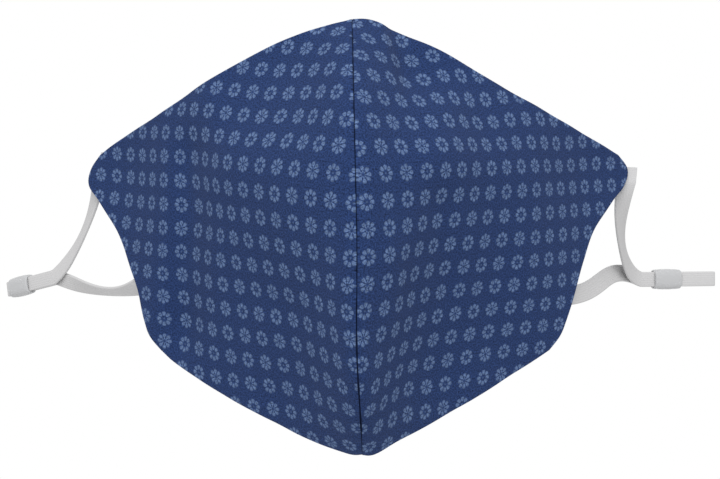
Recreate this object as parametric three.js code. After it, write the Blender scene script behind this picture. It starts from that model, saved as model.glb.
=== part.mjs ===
// Cloth face mask: two shaped cloth panels that meet at a centre seam, and on each side
// a flat elastic ear loop whose two strands run through a soft adjuster.
// Millimetres, +Z up. The front of the mask looks along -Y and the ears lie along X.
// The origin is the seat on the face: on the seam plane, halfway up the mask, level with
// the edges that rest on the nose bridge and under the chin.
import * as THREE from 'three';

// Cloth body
const maskWidth = 184.5;      // across both wing tips
const maskHeight = 127.5;     // from the chin point to the nose point
const maskDepth = 97.5;       // from the front of the seam back to the wing tips
const faceSetback = 31.5;     // from the front of the seam back to the nose and chin edges
const clothWall = 1.6;        // two layers of cotton and their filter layer
const seamGap = 0.3;          // clear space between the two panels
const seamTurnWidth = 3;      // how far from the seam the cloth starts to turn back
const seamLean = 3;           // how far the seam's top lies to the left of its foot
const seamBow = 0.8;          // how far the seam bows to the left below its middle
const seamBowHeight = -0.24;  // the bow's middle, as a share of maskHeight
const seamBowReach = 0.15;    // and its softness, as a share of maskHeight

// Ear loops
const strapWidth = 6.2;
const strapThickness = 1;
const layerGap = 0.5;         // between the two strands inside an adjuster
const lapClearance = 0.6;     // between a strap's sewn end and the cloth behind it
const lapLength = 10;         // how much of a strap lies against the cloth
const strapCorner = 0.3;      // chamfer along a strap's long edges
const narrowingStart = 0.75;  // share of a strand after which it narrows for the adjuster
const loopSpread = 41;        // from a wing tip out to the furthest tail
const loopReach = 38;         // from a wing tip back to the furthest tail
const loopDrop = 36;          // from a wing tip down to the adjuster
const wingTipShare = 0.87;    // the share of a side edge that reaches furthest out

// Adjusters
const adjusterLength = 11;
const adjusterHeight = 7.4;
const adjusterDepth = 5.2;
const passageClearance = 0.3; // round the two strands
const squeezedWidth = 5.4;    // a strap's width inside an adjuster
const adjusterBulge = 0.08;   // how much fatter its middle is than its ends
const barrelSquareness = 0.7; // power of its section: 1 is an ellipse, 0 a rectangle
const passageSquareness = 0.35;
const ringShares = [0, 0.1, 0.3, 0.5, 0.7, 0.9, 1];  // where its rings lie along it

// Fineness of the faceted surfaces
const panelColumns = 24;
const panelRows = 22;
const lapSteps = 3;
const strandSteps = 12;
const foldSteps = 8;
const straightShares = [0.3, 0.6, 1];  // stations of the doubled stretch
const ringSides = 16;
const normalNudge = 0.004;    // steps of s and t over which a direction is measured
const patchNudge = 0.01;

// Where the levels below are read, as shares of half the mask's width
const stations = { seam: 0, flank: 0.17, cheek: 0.37, jaw: 0.57, side: 0.78, ear: 1 };

// Level sections through a panel, from the chin up. height is a share of maskHeight from
// its middle. The others say how far back the cloth lies, as shares of maskDepth.
const levels = [
  { height: -0.50, seam: 0.323, flank: 0.47, cheek: 0.62, jaw: 0.75, side: 0.85, ear: 0.955 },
  { height: -0.42, seam: 0.20, flank: 0.42, cheek: 0.575, jaw: 0.715, side: 0.825, ear: 0.96 },
  { height: -0.30, seam: 0.088, flank: 0.37, cheek: 0.535, jaw: 0.67, side: 0.807, ear: 0.965 },
  { height: -0.18, seam: 0.045, flank: 0.30, cheek: 0.485, jaw: 0.62, side: 0.79, ear: 0.965 },
  { height: -0.065, seam: 0.012, flank: 0.22, cheek: 0.43, jaw: 0.58, side: 0.783, ear: 0.965 },
  { height: 0.053, seam: 0, flank: 0.16, cheek: 0.38, jaw: 0.555, side: 0.783, ear: 0.97 },
  { height: 0.17, seam: 0.012, flank: 0.16, cheek: 0.35, jaw: 0.55, side: 0.793, ear: 0.98 },
  { height: 0.288, seam: 0.072, flank: 0.255, cheek: 0.425, jaw: 0.585, side: 0.79, ear: 0.98 },
  { height: 0.405, seam: 0.195, flank: 0.355, cheek: 0.485, jaw: 0.64, side: 0.79, ear: 0.98 },
  { height: 0.50, seam: 0.323, flank: 0.40, cheek: 0.51, jaw: 0.66, side: 0.80, ear: 0.98 },
];

// Soft folds. low and high are the ends, as shares of maskHeight, fade is how softly they
// end, acrossLow and acrossHigh are where the fold lies there, as shares of half the width,
// width is half the fold's own, and depth is how far it falls back, as a share of maskDepth.
const folds = [
  { panel: 'left', acrossLow: 0.60, acrossHigh: 0.55, low: -0.28, high: 0.26, fade: 0.16,
    width: 0.08, depth: 0.065 },
  { panel: 'left', acrossLow: 0.85, acrossHigh: 0.85, low: -0.70, high: 0.70, fade: 0.10,
    width: 0.28, depth: 0.036 },
  { panel: 'left', acrossLow: 0.50, acrossHigh: 0.50, low: 0.22, high: 0.50, fade: 0.14,
    width: 0.08, depth: -0.022 },
  { panel: 'left', acrossLow: 0.28, acrossHigh: 0.28, low: -0.34, high: -0.18, fade: 0.10,
    width: 0.08, depth: -0.018 },
  { panel: 'right', acrossLow: 0.28, acrossHigh: 0.28, low: 0.14, high: 0.34, fade: 0.14,
    width: 0.09, depth: -0.032 },
  { panel: 'right', acrossLow: 0.27, acrossHigh: 0.25, low: -0.14, high: 0.10, fade: 0.12,
    width: 0.06, depth: 0.024 },
  { panel: 'right', acrossLow: 0.11, acrossHigh: 0.11, low: -0.22, high: 0, fade: 0.12,
    width: 0.05, depth: -0.024 },
];

// Sharp creases, where the cloth steps back. reach is how far outward the step lasts.
const creases = [
  { panel: 'right', acrossLow: 0.145, acrossHigh: 0.085, low: 0.33, high: 0.60, fade: 0.10,
    width: 0.014, reach: 0.16, depth: 0.045 },
];

// The panels' outlines seen from the front. across is a share of half the mask's width and
// up is a share of its height from the middle.
const outlines = {
  left: {
    top: [
      { across: 0, up: 0.50 },
      { across: 0.18, up: 0.471 },
      { across: 0.30, up: 0.442 },
      { across: 0.493, up: 0.38 },
      { across: 0.663, up: 0.319 },
      { across: 0.86, up: 0.255 },
      { across: 0.945, up: 0.219 },
    ],
    side: [
      { across: 0.69, up: -0.288 },
      { across: 0.738, up: -0.251 },
      { across: 0.757, up: -0.213 },
      { across: 0.784, up: -0.136 },
      { across: 0.825, up: -0.059 },
      { across: 0.873, up: 0.019 },
      { across: 0.957, up: 0.10 },
      { across: 1, up: 0.141 },
      { across: 0.99, up: 0.181 },
      { across: 0.945, up: 0.219 },
    ],
    bottom: [
      { across: 0, up: -0.50 },
      { across: 0.05, up: -0.50 },
      { across: 0.167, up: -0.478 },
      { across: 0.267, up: -0.451 },
      { across: 0.462, up: -0.389 },
      { across: 0.626, up: -0.324 },
      { across: 0.69, up: -0.288 },
    ],
  },
  right: {
    top: [
      { across: 0, up: 0.50 },
      { across: 0.06, up: 0.50 },
      { across: 0.17, up: 0.472 },
      { across: 0.278, up: 0.443 },
      { across: 0.451, up: 0.378 },
      { across: 0.643, up: 0.315 },
      { across: 0.849, up: 0.252 },
      { across: 0.954, up: 0.218 },
    ],
    side: [
      { across: 0.665, up: -0.285 },
      { across: 0.711, up: -0.248 },
      { across: 0.734, up: -0.21 },
      { across: 0.769, up: -0.135 },
      { across: 0.802, up: -0.058 },
      { across: 0.846, up: 0.019 },
      { across: 0.931, up: 0.098 },
      { across: 0.983, up: 0.139 },
      { across: 0.998, up: 0.18 },
      { across: 0.954, up: 0.218 },
    ],
    bottom: [
      { across: 0, up: -0.50 },
      { across: 0.04, up: -0.50 },
      { across: 0.127, up: -0.473 },
      { across: 0.224, up: -0.446 },
      { across: 0.409, up: -0.385 },
      { across: 0.581, up: -0.32 },
      { across: 0.665, up: -0.285 },
    ],
  },
};

// Where each adjuster hangs, from its wing tip: shares of loopSpread, loopReach and
// loopDrop. turn is how far it points behind the sideways direction and dip how far it
// points down, in degrees. lead is the doubled stretch before it and tail the one after.
const adjusters = {
  left: { out: 0.67, back: 0.80, down: 1.035, turn: 38, dip: 10.5, lead: 14, tail: 1.5 },
  right: { out: 0.38, back: 0.78, down: 0.975, turn: 18, dip: 0, lead: 4.5, tail: 13.7 },
};

// Where each strand is sewn and how it leaves. edge is the place along the panel's side
// edge, as a share from the lower corner up. hold is how far inside the edge it is held,
// in strap widths, and beside how far its middle lies outside that line. turn, in degrees,
// brings its sewn end round towards the front, and lap is the length of that end, as a
// share of lapLength. out, back and up give the direction in which the strand sets off.
// pull and mouthPull say how long it keeps its directions at its two ends, as shares of
// the way between them. lift raises it before the adjuster and roll, in degrees, turns
// its flat face, most of all halfway, or nearer to the sewn end where early is below 1.
const strands = {
  left: {
    upper: { edge: 0.82, hold: 0.6, beside: 0.5, turn: 0, lap: 1, out: 0.22, back: 0.45,
      up: -0.85, pull: 0.36, mouthPull: 0.27, lift: 0.35, roll: -28, early: 1 },
    lower: { edge: 0.31, hold: 0, beside: 0, turn: 0, lap: 1, out: 0.55, back: 0.60,
      up: -0.34, pull: 0.28, mouthPull: 0.25, lift: -0.40, roll: 62, early: 0.6 },
  },
  right: {
    upper: { edge: 0.87, hold: 0, beside: 0.35, turn: 42, lap: 0.5, out: -0.24, back: 0.10,
      up: -0.95, pull: 0.36, mouthPull: 0.20, lift: 0.1, roll: -42, early: 1 },
    lower: { edge: 0.26, hold: 0, beside: 0, turn: 0, lap: 1, out: 0.70, back: 0.70,
      up: 0.02, pull: 0.40, mouthPull: 0.30, lift: 0.45, roll: -25, early: 1 },
  },
};

const panelColour = 0x2e3f6e;
const elasticColour = 0xe6e6e8;
const adjusterColour = 0xdfe1e4;

const clothMaterial = new THREE.MeshStandardMaterial(
  { color: panelColour, roughness: 0.9, metalness: 0 });
const elasticMaterial = new THREE.MeshStandardMaterial(
  { color: elasticColour, roughness: 0.8, metalness: 0 });
const adjusterMaterial = new THREE.MeshStandardMaterial(
  { color: adjusterColour, roughness: 0.4, metalness: 0 });

const halfWidth = maskWidth / 2;
const up = new THREE.Vector3(0, 0, 1);
const sideSign = { left: -1, right: 1 };

// A smooth curve through a few stations, read at one place.
function smoothThrough(places, values, at) {
  const last = places.length - 1;
  let low = 0;
  while (low < last - 1 && at > places[low + 1]) low += 1;
  const secant = (i) => (values[i + 1] - values[i]) / (places[i + 1] - places[i]);
  const slope = (i) => {
    if (i === 0) return secant(0);
    if (i === last) return secant(last - 1);
    const before = places[i] - places[i - 1];
    const after = places[i + 1] - places[i];
    return (secant(i - 1) * after + secant(i) * before) / (before + after);
  };
  const span = places[low + 1] - places[low];
  const t = (at - places[low]) / span;
  const startShare = (1 + 2 * t) * (1 - t) ** 2;
  const startSlope = t * (1 - t) ** 2 * span;
  const endShare = t * t * (3 - 2 * t);
  const endSlope = t * t * (t - 1) * span;
  return startShare * values[low] + startSlope * slope(low)
    + endShare * values[low + 1] + endSlope * slope(low + 1);
}

function softStep(value) {
  const t = THREE.MathUtils.clamp(value, 0, 1);
  return t * t * (3 - 2 * t);
}

// How strongly a fold or crease counts at a height: 1 between its ends, 0 beyond them.
function foldStrength(fold, height) {
  const fromLow = softStep((height - fold.low) / fold.fade + 0.5);
  const fromHigh = softStep((fold.high - height) / fold.fade + 0.5);
  return fromLow * fromHigh;
}

function foldPlace(fold, height) {
  const share = THREE.MathUtils.clamp((height - fold.low) / (fold.high - fold.low), 0, 1);
  return fold.acrossLow + (fold.acrossHigh - fold.acrossLow) * share;
}

// How far back the cloth lies at a place of the front view, in millimetres.
function clothDepth(panel, across, height) {
  const heights = levels.map((level) => level.height);
  const names = Object.keys(stations);
  const places = Object.values(stations);
  const section = names.map(
    (name) => smoothThrough(heights, levels.map((level) => level[name]), height));
  const turn = seamTurnWidth / halfWidth;
  const rounded = Math.sqrt(across ** 2 + turn ** 2) - turn;
  let depth = smoothThrough(places, section, rounded);
  for (const fold of folds.filter((row) => row.panel === panel)) {
    const offset = (across - foldPlace(fold, height)) / fold.width;
    depth += fold.depth * foldStrength(fold, height) * Math.exp(-(offset ** 2));
  }
  for (const crease of creases.filter((row) => row.panel === panel)) {
    const past = across - foldPlace(crease, height);
    const step = 0.5 + 0.5 * Math.tanh(past / crease.width);
    const lasting = Math.exp(-((Math.max(past, 0) / crease.reach) ** 2));
    depth += crease.depth * foldStrength(crease, height) * step * lasting;
  }
  return depth * maskDepth;
}

function edgeCurve(rows) {
  return new THREE.SplineCurve(rows.map((row) => new THREE.Vector2(row.across, row.up)));
}

const edgeCurves = {};
for (const [panel, edges] of Object.entries(outlines)) {
  edgeCurves[panel] = {
    top: edgeCurve(edges.top),
    side: edgeCurve(edges.side),
    bottom: edgeCurve(edges.bottom),
  };
}

// The front view of a panel as a patch between its four edges: s runs from the seam to the
// side edge and t from the bottom edge to the top edge.
function frontView(panel, s, t) {
  const { top, side, bottom } = edgeCurves[panel];
  const seam = (share) => new THREE.Vector2(0, share - 0.5);
  const upright = bottom.getPointAt(s).multiplyScalar(1 - t)
    .add(top.getPointAt(s).multiplyScalar(t));
  const sideways = seam(t).multiplyScalar(1 - s)
    .add(side.getPointAt(t).multiplyScalar(s));
  const lowerEdge = seam(0).multiplyScalar(1 - s).add(side.getPointAt(0).multiplyScalar(s));
  const upperEdge = seam(1).multiplyScalar(1 - s).add(side.getPointAt(1).multiplyScalar(s));
  const corners = lowerEdge.multiplyScalar(1 - t).add(upperEdge.multiplyScalar(t));
  return upright.add(sideways).sub(corners);
}

// How far to the right of the middle the seam lies at a height.
function seamPlace(height) {
  const bow = Math.exp(-(((height - seamBowHeight) / seamBowReach) ** 2));
  return -seamLean * height - seamBow * bow;
}

// The outer face of the cloth at s and t.
function outerPoint(panel, s, t) {
  const view = frontView(panel, s, t);
  const across = Math.max(view.x, 0);
  const lean = seamPlace(view.y) * (1 - across);
  return new THREE.Vector3(
    sideSign[panel] * (seamGap / 2 + across * (halfWidth - seamGap / 2)) + lean,
    clothDepth(panel, across, view.y) - faceSetback,
    view.y * maskHeight,
  );
}

// The direction out of the cloth at s and t, away from the face.
function outerNormal(panel, s, t) {
  const sLow = Math.max(s - normalNudge, 0);
  const sHigh = Math.min(s + normalNudge, 1);
  const tLow = Math.max(t - normalNudge, 0);
  const tHigh = Math.min(t + normalNudge, 1);
  const alongS = outerPoint(panel, sHigh, t).sub(outerPoint(panel, sLow, t));
  const alongT = outerPoint(panel, s, tHigh).sub(outerPoint(panel, s, tLow));
  return alongS.cross(alongT).multiplyScalar(sideSign[panel]).normalize();
}

// A point behind the outer face. Beside the seam it keeps to the seam's own plane, so that
// the two walls meet in a mitre.
function pointBehind(panel, s, t, distance) {
  const inward = outerNormal(panel, s, t).negate();
  if (s === 0) {
    inward.x = 0;
    inward.divideScalar(inward.length() ** 2);
  }
  return outerPoint(panel, s, t).addScaledVector(inward, distance);
}

// Closed surface from a list of corner points and a list of faces, three or four corners
// each, counted anticlockwise from outside. flip turns every face over.
function closedGeometry(points, faces, flip = false) {
  const index = [];
  for (const face of faces) {
    const corners = flip ? [...face].reverse() : face;
    for (let i = 1; i < corners.length - 1; i += 1) {
      index.push(corners[0], corners[i], corners[i + 1]);
    }
  }
  const geometry = new THREE.BufferGeometry();
  geometry.setAttribute('position',
    new THREE.Float32BufferAttribute(points.flatMap((point) => point.toArray()), 3));
  geometry.setIndex(index);
  geometry.computeVertexNormals();
  return geometry;
}

// One cloth panel: an outer and an inner face, joined round the four edges.
function panelGeometry(panel) {
  const points = [];
  const rowLength = panelColumns + 1;
  const layerLength = rowLength * (panelRows + 1);
  for (const distance of [0, clothWall]) {
    for (let row = 0; row <= panelRows; row += 1) {
      for (let column = 0; column <= panelColumns; column += 1) {
        points.push(pointBehind(panel, column / panelColumns, row / panelRows, distance));
      }
    }
  }
  const outer = (column, row) => row * rowLength + column;
  const inner = (column, row) => layerLength + outer(column, row);
  const faces = [];
  for (let row = 0; row < panelRows; row += 1) {
    for (let column = 0; column < panelColumns; column += 1) {
      faces.push([outer(column, row), outer(column + 1, row),
        outer(column + 1, row + 1), outer(column, row + 1)]);
      faces.push([inner(column, row), inner(column, row + 1),
        inner(column + 1, row + 1), inner(column + 1, row)]);
    }
  }
  for (let column = 0; column < panelColumns; column += 1) {
    faces.push([outer(column, 0), inner(column, 0),
      inner(column + 1, 0), outer(column + 1, 0)]);
    faces.push([outer(column, panelRows), outer(column + 1, panelRows),
      inner(column + 1, panelRows), inner(column, panelRows)]);
  }
  for (let row = 0; row < panelRows; row += 1) {
    faces.push([outer(0, row), outer(0, row + 1), inner(0, row + 1), inner(0, row)]);
    faces.push([outer(panelColumns, row), inner(panelColumns, row),
      inner(panelColumns, row + 1), outer(panelColumns, row + 1)]);
  }
  return closedGeometry(points, faces, panel === 'left');
}

// The middle, direction and face direction of an adjuster, in the mask's frame.
function adjusterPlace(panel) {
  const row = adjusters[panel];
  const sign = sideSign[panel];
  const turn = THREE.MathUtils.degToRad(row.turn);
  const dip = THREE.MathUtils.degToRad(row.dip);
  const tip = outerPoint(panel, 1, wingTipShare);
  const along = new THREE.Vector3(
    sign * Math.cos(turn) * Math.cos(dip), Math.sin(turn) * Math.cos(dip), -Math.sin(dip));
  const mouth = tip.clone().add(new THREE.Vector3(
    sign * row.out * loopSpread, row.back * loopReach, -row.down * loopDrop));
  const layers = new THREE.Vector3().crossVectors(along, up).multiplyScalar(sign).normalize();
  const rise = new THREE.Vector3().crossVectors(layers, along).multiplyScalar(sign).normalize();
  return { row, along, layers, rise, mouth };
}

// How far one unit of s and one unit of t reach on the cloth, as two vectors.
function patchDirections(panel, s, t) {
  const sAt = Math.min(s, 1) - patchNudge;
  const tAt = THREE.MathUtils.clamp(t, patchNudge, 1 - patchNudge);
  const here = outerPoint(panel, sAt, tAt);
  return {
    alongS: outerPoint(panel, sAt + patchNudge, tAt).sub(here).divideScalar(patchNudge),
    alongT: outerPoint(panel, sAt, tAt + patchNudge).sub(here).divideScalar(patchNudge),
  };
}

// A station of a strap held behind the cloth at s and t, running in the given direction.
// Beyond the side edge, where s is above 1, it runs on as the cloth would.
function clothStation(panel, strand, s, t, run) {
  const sign = sideSign[panel];
  const inside = Math.min(s, 1);
  const behind = clothWall + lapClearance + strapThickness / 2;
  const turn = sign * THREE.MathUtils.degToRad(strand.turn);
  const face = outerNormal(panel, inside, t).applyAxisAngle(run, turn);
  const outward = new THREE.Vector3().crossVectors(face, run).multiplyScalar(sign).normalize();
  return {
    centre: pointBehind(panel, inside, t, behind)
      .addScaledVector(patchDirections(panel, inside, t).alongS, s - inside)
      .addScaledVector(outward, strand.beside * strapWidth),
    face,
    width: strapWidth,
  };
}

// A sewn strap end: stations behind the cloth, from the edge to the strap's end. It runs
// on from the strand that sets off in the given direction.
function lapStations(panel, strand, setOff) {
  const move = setOff.clone().multiplyScalar(-strand.lap * lapLength / lapSteps);
  const acrossPanel = patchDirections(panel, 1, strand.edge).alongS.length();
  let s = 1 - strand.hold * strapWidth / acrossPanel;
  let t = strand.edge;
  const list = [];
  for (let step = 0; step <= lapSteps; step += 1) {
    list.push(clothStation(panel, strand, s, t, setOff));
    const { alongS, alongT } = patchDirections(panel, s, t);
    const ss = alongS.dot(alongS);
    const st = alongS.dot(alongT);
    const tt = alongT.dot(alongT);
    const area = ss * tt - st * st;
    s += (tt * alongS.dot(move) - st * alongT.dot(move)) / area;
    t += (ss * alongT.dot(move) - st * alongS.dot(move)) / area;
  }
  return list;
}

// One strand from its sewn end to the adjuster's mouth, as a list of stations.
function strandStations(panel, strand, place, layerSide) {
  const sign = sideSign[panel];
  const setOff = new THREE.Vector3(sign * strand.out, strand.back, strand.up).normalize();
  const lap = lapStations(panel, strand, setOff);
  const start = lap[0].centre;
  const layerOffset = layerSide * (strapThickness + layerGap) / 2;
  const mouth = place.mouth.clone().addScaledVector(place.layers, layerOffset)
    .addScaledVector(place.along, -place.row.lead);
  const way = start.distanceTo(mouth);
  const arrival = place.along.clone().negate().addScaledVector(up, strand.lift).normalize();
  const curve = new THREE.CubicBezierCurve3(
    start,
    start.clone().addScaledVector(setOff, way * strand.pull),
    mouth.clone().addScaledVector(arrival, way * strand.mouthPull),
    mouth,
  );
  const roll = THREE.MathUtils.degToRad(strand.roll);
  const free = [];
  for (let step = 1; step <= strandSteps; step += 1) {
    const share = step / strandSteps;
    const tangent = curve.getTangentAt(share);
    const swing = roll * Math.sin(Math.PI * share ** strand.early);
    const face = lap[0].face.clone().lerp(place.layers, softStep(share));
    face.applyAxisAngle(tangent, sign * swing);
    free.push({
      centre: curve.getPointAt(share),
      face,
      width: strapWidth + (squeezedWidth - strapWidth)
        * softStep((share - narrowingStart) / (1 - narrowingStart)),
    });
  }
  return [...lap.reverse(), ...free];
}

// The folded stretch of an ear loop: out through the adjuster, round the fold and back.
function foldStations(place) {
  const radius = (strapThickness + layerGap) / 2;
  const length = adjusterLength + place.row.tail;
  const end = place.mouth.clone().addScaledVector(place.along, length);
  const straight = (layer) => straightShares.map((share) => ({
    centre: place.mouth.clone().addScaledVector(place.along, length * share)
      .addScaledVector(place.layers, layer * radius),
    face: place.layers.clone().multiplyScalar(layer),
    width: squeezedWidth,
  }));
  const round = [];
  for (let step = 1; step < foldSteps; step += 1) {
    const angle = Math.PI * step / foldSteps;
    const outward = place.layers.clone().multiplyScalar(Math.cos(angle))
      .addScaledVector(place.along, Math.sin(angle));
    round.push({
      centre: end.clone().addScaledVector(outward, radius),
      face: outward,
      width: squeezedWidth,
    });
  }
  return [...straight(1), ...round, ...straight(-1).reverse()];
}

// A flat band along a list of stations: eight corners at each, and a cap at both ends.
function bandGeometry(list) {
  const points = [];
  const halfWide = 0.5 - strapCorner / strapWidth;
  const halfThick = 0.5 - strapCorner / strapThickness;
  const profile = [
    [0.5, halfThick],
    [halfWide, 0.5],
    [-halfWide, 0.5],
    [-0.5, halfThick],
    [-0.5, -halfThick],
    [-halfWide, -0.5],
    [halfWide, -0.5],
    [0.5, -halfThick],
  ];
  list.forEach((station, i) => {
    const before = list[Math.max(i - 1, 0)].centre;
    const after = list[Math.min(i + 1, list.length - 1)].centre;
    const tangent = after.clone().sub(before).normalize();
    const face = station.face.clone().addScaledVector(
      tangent, -station.face.dot(tangent)).normalize();
    const across = new THREE.Vector3().crossVectors(tangent, face);
    for (const [w, h] of profile) {
      points.push(station.centre.clone()
        .addScaledVector(across, w * station.width)
        .addScaledVector(face, h * strapThickness));
    }
  });
  const sides = profile.length;
  const faces = [];
  for (let i = 0; i < list.length - 1; i += 1) {
    for (let k = 0; k < sides; k += 1) {
      const next = (k + 1) % sides;
      faces.push([i * sides + k, i * sides + next,
        (i + 1) * sides + next, (i + 1) * sides + k]);
    }
  }
  const lastRing = (list.length - 1) * sides;
  faces.push(profile.map((_, k) => sides - 1 - k));
  faces.push(profile.map((_, k) => lastRing + k));
  return closedGeometry(points, faces, true);
}

// A whole ear loop: the upper strand, the fold through the adjuster, the lower strand.
function earLoopGeometry(panel) {
  const place = adjusterPlace(panel);
  const upper = strandStations(panel, strands[panel].upper, place, 1);
  const lower = strandStations(panel, strands[panel].lower, place, -1);
  const turned = lower.map((item) => ({ ...item, face: item.face.clone().negate() }));
  return bandGeometry([...upper, ...foldStations(place), ...turned.reverse()]);
}

// A soft barrel with a flat passage through it.
function adjusterGeometry(panel) {
  const place = adjusterPlace(panel);
  const passageHeight = squeezedWidth + 2 * passageClearance;
  const passageDepth = 2 * strapThickness + layerGap + 2 * passageClearance;
  const points = [];
  const addRing = (share, height, depth, squareness) => {
    const rounding = (value) => Math.sign(value) * Math.abs(value) ** squareness;
    for (let k = 0; k < ringSides; k += 1) {
      const angle = 2 * Math.PI * (k + 0.5) / ringSides;
      points.push(place.mouth.clone()
        .addScaledVector(place.along, adjusterLength * share)
        .addScaledVector(place.rise, rounding(Math.cos(angle)) * height / 2)
        .addScaledVector(place.layers, rounding(Math.sin(angle)) * depth / 2));
    }
  };
  for (const share of ringShares) {
    const fat = 1 - adjusterBulge * (2 * share - 1) ** 2;
    addRing(share, adjusterHeight * fat, adjusterDepth * fat, barrelSquareness);
  }
  addRing(1, passageHeight, passageDepth, passageSquareness);
  addRing(0, passageHeight, passageDepth, passageSquareness);
  const rings = points.length / ringSides;
  const faces = [];
  for (let ring = 0; ring < rings; ring += 1) {
    const following = (ring + 1) % rings;
    for (let k = 0; k < ringSides; k += 1) {
      const next = (k + 1) % ringSides;
      faces.push([ring * ringSides + k, following * ringSides + k,
        following * ringSides + next, ring * ringSides + next]);
    }
  }
  return closedGeometry(points, faces, panel === 'right');
}

const mask = new THREE.Group();
const addMesh = (name, geometry, material) => {
  const mesh = new THREE.Mesh(geometry, material);
  mesh.name = name;
  mask.add(mesh);
};
for (const panel of Object.keys(sideSign)) {
  addMesh(`panel_${panel}`, panelGeometry(panel), clothMaterial);
  addMesh(`ear_loop_${panel}`, earLoopGeometry(panel), elasticMaterial);
  addMesh(`adjuster_${panel}`, adjusterGeometry(panel), adjusterMaterial);
}

export default mask;
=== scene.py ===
"""Looks of a shaped cloth face mask: printed navy cotton, flat elastic ear loops and soft
translucent adjusters. Metres, +Z up. The front of the mask looks along -Y."""
import math

import bpy
import numpy as np
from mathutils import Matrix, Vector


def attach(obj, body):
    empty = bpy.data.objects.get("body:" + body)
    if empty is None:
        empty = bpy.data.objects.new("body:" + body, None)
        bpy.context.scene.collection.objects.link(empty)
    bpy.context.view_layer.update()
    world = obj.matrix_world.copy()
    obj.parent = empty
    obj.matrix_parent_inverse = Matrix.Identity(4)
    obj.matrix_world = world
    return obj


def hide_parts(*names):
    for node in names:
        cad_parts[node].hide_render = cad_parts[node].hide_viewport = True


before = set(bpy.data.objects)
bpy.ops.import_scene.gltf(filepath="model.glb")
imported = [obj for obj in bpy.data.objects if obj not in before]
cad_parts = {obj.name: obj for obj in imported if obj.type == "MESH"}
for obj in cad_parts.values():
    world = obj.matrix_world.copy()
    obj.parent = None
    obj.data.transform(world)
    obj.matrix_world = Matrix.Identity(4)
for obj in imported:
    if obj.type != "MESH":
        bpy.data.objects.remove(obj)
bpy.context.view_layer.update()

# Cloth body
MASK_WIDTH = 0.1845
MASK_HEIGHT = 0.1275
MASK_DEPTH = 0.0975
FACE_SETBACK = 0.0315
CLOTH_WALL = 0.0016
SEAM_GAP = 0.0003
SEAM_TURN_WIDTH = 0.003
SEAM_LEAN = 0.003
HALF_WIDTH = MASK_WIDTH / 2
SIDE_SIGN = {"left": -1, "right": 1}

# Ear loops and adjusters
STRAP_WIDTH = 0.0062
STRAP_THICKNESS = 0.001
LAYER_GAP = 0.0005
LAP_CLEARANCE = 0.0006
LAP_LENGTH = 0.010
NARROWING_START = 0.75
LOOP_SPREAD = 0.041
LOOP_REACH = 0.038
LOOP_DROP = 0.036
WING_TIP_SHARE = 0.87
ADJUSTER_LENGTH = 0.011
ADJUSTER_HEIGHT = 0.0074
ADJUSTER_DEPTH = 0.0052
PASSAGE_CLEARANCE = 0.0003
SQUEEZED_WIDTH = 0.0054
STRAP_EDGE_SHARE = 0.42
ADJUSTER_LIP = 0.0006
ADJUSTER_BULGE = 0.08
BARREL_SQUARENESS = 0.7
PASSAGE_SQUARENESS = 0.35

# The centre seam. Its bow's height and reach are shares of MASK_HEIGHT.
SEAM_FOLD = 0.0005        # how far from the panel's edge the cloth starts to fold in
SEAM_PRESS = 0.00003      # how far the folds press into each other below the groove
SEAM_BOW = 0.0008         # how far the seam bows to the left below its middle
SEAM_BOW_HEIGHT = -0.24
SEAM_BOW_REACH = 0.15

# The groove between the seam's folds: half its width in the seam's upper and lower part, and
# between which heights it changes, as shares of MASK_HEIGHT
GROOVE_ABOVE = 0.0001
GROOVE_BELOW = 0.00023
GROOVE_CHANGE = (-0.10, -0.24)
GROOVE_END = 0.012        # the length over which it closes at the chin and at the nose
GROOVE_STEPS = 4          # how many of the rim's steps it goes down
GROOVE_PITCH = 0.011      # how far apart its wider places are
GROOVE_UNEVENNESS = 0.3   # and how much wider they are, as a share

# Softness of the cloth, out of its face: slow waves, and puckers beside the centre seam
# whose places drift a little along it
WAVE_HEIGHT = 0.00010
PUCKER_HEIGHT = 0.00022
PUCKER_PITCH = 0.0046
PUCKER_REACH = 0.0035
PUCKER_DRIFT = 1.5
PUCKER_DRIFT_RATE = 1.7

# Each slow wave is a product of two sines. strength is its share of WAVE_HEIGHT, and a sine's
# across and up are in radians for each step of the print.
SLOW_WAVES = [
    dict(strength=1, sines=(dict(across=1.9, up=0.7, start=0),
                            dict(across=-0.6, up=1.3, start=1.0))),
    dict(strength=0.6, sines=(dict(across=1.2, up=3.1, start=0.4),
                              dict(across=2.3, up=-1.1, start=0))),
]

# Fineness of the meshes
PANEL_COLUMNS = 168
PANEL_ROWS = 152
RIM_STEPS = 8
OUTLINE_STEPS = 60
LAP_STEPS = 12
STRAND_STEPS = 90
STRAND_READINGS = 900
DOUBLED_STEPS = 24
FOLD_STEPS = 16
STRAP_CORNER_STEPS = 6
BARREL_SIDES = 64
BARREL_RINGS = 28
LIP_STEPS = 6
PASSAGE_RINGS = 6

# Laying a panel flat: its grid, how many of the grid's steps apart the points are that are
# laid, and how often and how carefully they are moved
FLAT_COLUMNS = 160
FLAT_ROWS = 144
FLAT_STRIDE = 8
FLAT_ROUNDS = 12
FLAT_DAMPING = 1e-3

# Steps of s and t over which a direction on the cloth is measured
NORMAL_NUDGE = 0.004
PATCH_NUDGE = 0.01

UP = np.array([0.0, 0.0, 1.0])
MILLIMETRE = 0.001

# Colours
NAVY = (0.017, 0.0365, 0.113)
PETAL_BLUE = (0.089, 0.140, 0.268)
INSIDE_NAVY = (0.018, 0.033, 0.095)
ELASTIC_WHITE = (0.415, 0.413, 0.417)
BEAD_WHITE = (0.47, 0.475, 0.485)
FLOOR_GREY = (0.8, 0.8, 0.8)

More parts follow.
